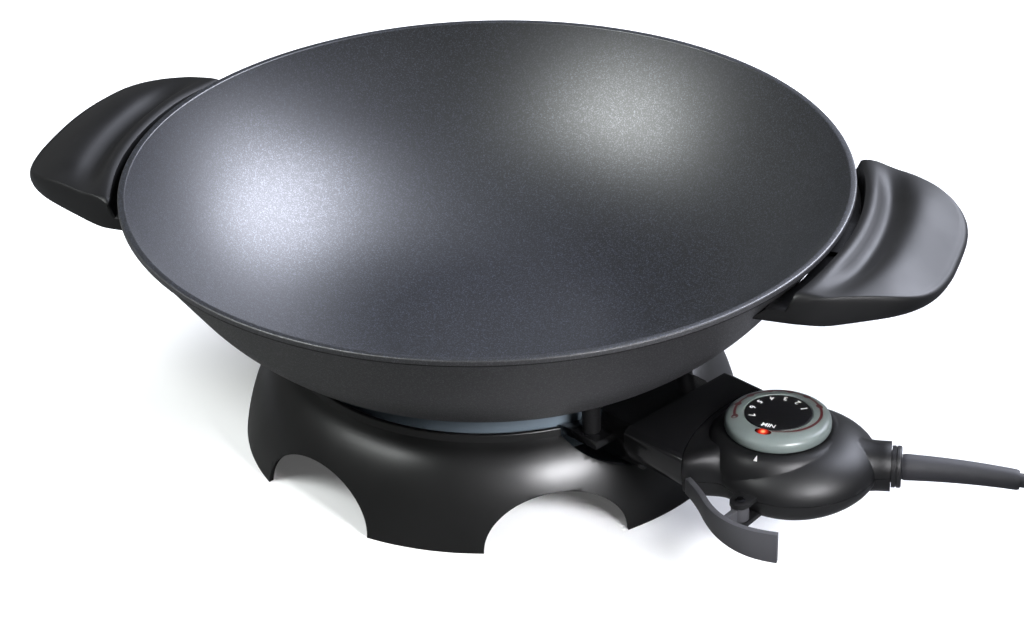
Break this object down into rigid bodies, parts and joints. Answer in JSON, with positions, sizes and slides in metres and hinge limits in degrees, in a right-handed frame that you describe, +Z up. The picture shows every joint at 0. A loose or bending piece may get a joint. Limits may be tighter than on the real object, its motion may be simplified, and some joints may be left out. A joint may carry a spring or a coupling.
{
  "type": "electric wok",
  "caption": "Electric wok: a deep round non-stick bowl with two side grips on a scalloped stand, heated from below, with a plug-in thermostat controller and cord.",
  "frame": {"origin": "on the wok's axis, at the height of the surface that the stand's feet rest on", "axes": "+X along the line through the two side grips, +Z up; the controller leaves at 27.3 degrees from +X towards -Y"},
  "size_m": [0.6935, 0.3966, 0.1435],
  "materials": {
    "nonstick_bowl": "dark grey speckled non-stick coating",
    "steel": "satin stainless steel",
    "nickel": "nickel plate",
    "brass": "plain brass",
    "ceramic": "unglazed white",
    "reflector": "dull aluminised sheet",
    "stand": "fine-grained satin black",
    "shroud": "gloss black",
    "handle": "satin black",
    "housing": "semi-gloss black",
    "phenolic": "dark heat-resistant moulding",
    "dial_ring": "translucent grey-green",
    "dial_face": "satin near-black",
    "lamp": "red-orange pilot lamp",
    "lever": "satin dark grey",
    "gland": "black",
    "cord": "dark grey sheath",
    "plug": "dark grey moulded plug",
    "brown": "brown insulation",
    "blue": "blue insulation",
    "green": "green insulation",
    "white": "white insulation"
  },
  "bodies": {
    "wok": {"bowl": "nonstick_bowl", "heating_element": "steel", "terminal_pin_1": "nickel", "terminal_pin_2": "nickel", "pin_bead_1": "ceramic", "pin_bead_2": "ceramic", "probe_sleeve": "steel", "heat_reflector": "reflector", "stand": "stand", "stand_screw_1": "steel", "stand_screw_2": "steel", "stand_screw_3": "steel", "terminal_shroud": "shroud", "shroud_screw_1": "steel", "shroud_screw_2": "steel", "right_handle": "handle", "left_handle": "handle", "handle_screw_1": "steel", "handle_screw_2": "steel"},
    "controller": {"upper_housing": "housing", "lower_housing": "housing", "housing_screw_1": "steel", "housing_screw_2": "steel", "housing_screw_3": "steel", "contact_block": "phenolic", "pin_receptacle_1": "brass", "pin_receptacle_2": "brass", "probe_tube": "steel", "push_rod": "ceramic", "earth_strip": "nickel", "thermostat_frame": "nickel", "contact_stack": "ceramic", "fixed_contact": "brass", "moving_contact": "brass", "pilot_lamp": "lamp", "lamp_resistor": "ceramic", "live_lead": "brown", "neutral_lead": "blue", "earth_lead": "green", "link_lead": "white", "cord_jacket_end": "cord", "cord_clamp": "phenolic", "clamp_screw_1": "steel", "clamp_screw_2": "steel", "cord_gland": "gland", "strain_relief": "cord", "cord_lead": "cord", "cord_coil": "cord", "cord_tail": "cord", "plug_body": "plug", "plug_clip_1": "nickel", "plug_clip_2": "nickel", "plug_pin_1": "nickel", "plug_pin_2": "nickel", "lever_pin": "steel"},
    "dial": {"dial_ring": "dial_ring", "dial_disc": "dial_face", "dial_spindle": "steel"},
    "release_lever": {"release_lever": "lever"}
  },
  "joints": [
    {"name": "controller_unplug", "type": "slide", "parent": "wok", "child": "controller", "axis": [0.8886, -0.4587, 0], "range_m": [0, 0.075]},
    {"name": "dial_turn", "type": "hinge", "parent": "controller", "child": "dial", "pos_m": [0.17163, -0.07846, 0.0692], "axis": [0, 0, 1], "range_deg": [-305, 0]},
    {"name": "lever_squeeze", "type": "hinge", "parent": "controller", "child": "release_lever", "pos_m": [0.16453, -0.12273, 0.0471], "axis": [0, 0, 1], "range_deg": [0, 12], "stiffness_Nm_per_rad": 0.8}
  ]
}
